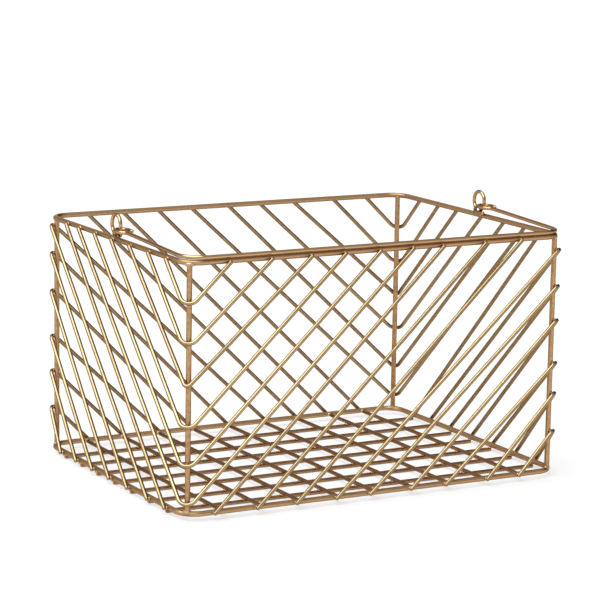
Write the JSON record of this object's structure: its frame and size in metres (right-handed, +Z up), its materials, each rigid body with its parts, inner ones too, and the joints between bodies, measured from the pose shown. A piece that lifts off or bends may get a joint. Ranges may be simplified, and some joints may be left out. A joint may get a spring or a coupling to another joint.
{
  "type": "wire basket",
  "caption": "Open rectangular storage basket of gold-coloured welded wire with slanted wall wires, a wire base and one swing handle.",
  "frame": {"origin": "on the floor under the middle of the base rim, on the bottom flat of the middle lengthwise base wire", "axes": "+X to the right along the long sides, +Y to the back, +Z up; the handle is folded forwards, towards -Y"},
  "size_m": [0.345, 0.2604, 0.2155],
  "materials": {
    "gold_wire": "steel wire with a satin gold-coloured metallic coat"
  },
  "bodies": {
    "basket": {"top_rim": "gold_wire", "base_rim": "gold_wire", "front_left_post": "gold_wire", "front_right_post": "gold_wire", "back_left_post": "gold_wire", "back_right_post": "gold_wire", "front_left_bent_wire_1": "gold_wire", "front_left_bent_wire_2": "gold_wire", "front_left_bent_wire_3": "gold_wire", "front_left_bent_wire_4": "gold_wire", "front_left_bent_wire_5": "gold_wire", "front_left_bent_wire_6": "gold_wire", "back_right_bent_wire_1": "gold_wire", "back_right_bent_wire_2": "gold_wire", "back_right_bent_wire_3": "gold_wire", "back_right_bent_wire_4": "gold_wire", "back_right_bent_wire_5": "gold_wire", "back_right_bent_wire_6": "gold_wire", "back_left_bent_wire_1": "gold_wire", "back_left_bent_wire_2": "gold_wire", "back_left_bent_wire_3": "gold_wire", "back_left_bent_wire_4": "gold_wire", "back_left_bent_wire_5": "gold_wire", "back_left_bent_wire_6": "gold_wire", "front_right_bent_wire_1": "gold_wire", "front_right_bent_wire_2": "gold_wire", "front_right_bent_wire_3": "gold_wire", "front_right_bent_wire_4": "gold_wire", "front_right_bent_wire_5": "gold_wire", "front_right_bent_wire_6": "gold_wire", "front_wire_1": "gold_wire", "front_wire_2": "gold_wire", "front_wire_3": "gold_wire", "back_wire_1": "gold_wire", "back_wire_2": "gold_wire", "back_wire_3": "gold_wire", "left_wire_1": "gold_wire", "right_wire_1": "gold_wire", "base_long_wire_1": "gold_wire", "base_long_wire_2": "gold_wire", "base_long_wire_3": "gold_wire", "base_long_wire_4": "gold_wire", "base_long_wire_5": "gold_wire", "base_long_wire_6": "gold_wire", "base_long_wire_7": "gold_wire", "base_cross_wire_1": "gold_wire", "base_cross_wire_2": "gold_wire", "base_cross_wire_3": "gold_wire", "base_cross_wire_4": "gold_wire", "base_cross_wire_5": "gold_wire", "base_cross_wire_6": "gold_wire", "base_cross_wire_7": "gold_wire", "base_cross_wire_8": "gold_wire", "base_cross_wire_9": "gold_wire", "left_eye": "gold_wire", "right_eye": "gold_wire"},
    "handle": {"handle": "gold_wire"}
  },
  "joints": [
    {"name": "handle_swing", "type": "hinge", "parent": "basket", "child": "handle", "pos_m": [0, -0.003, 0.20238], "axis": [-1, 0, 0], "range_deg": [0, 183]}
  ]
}
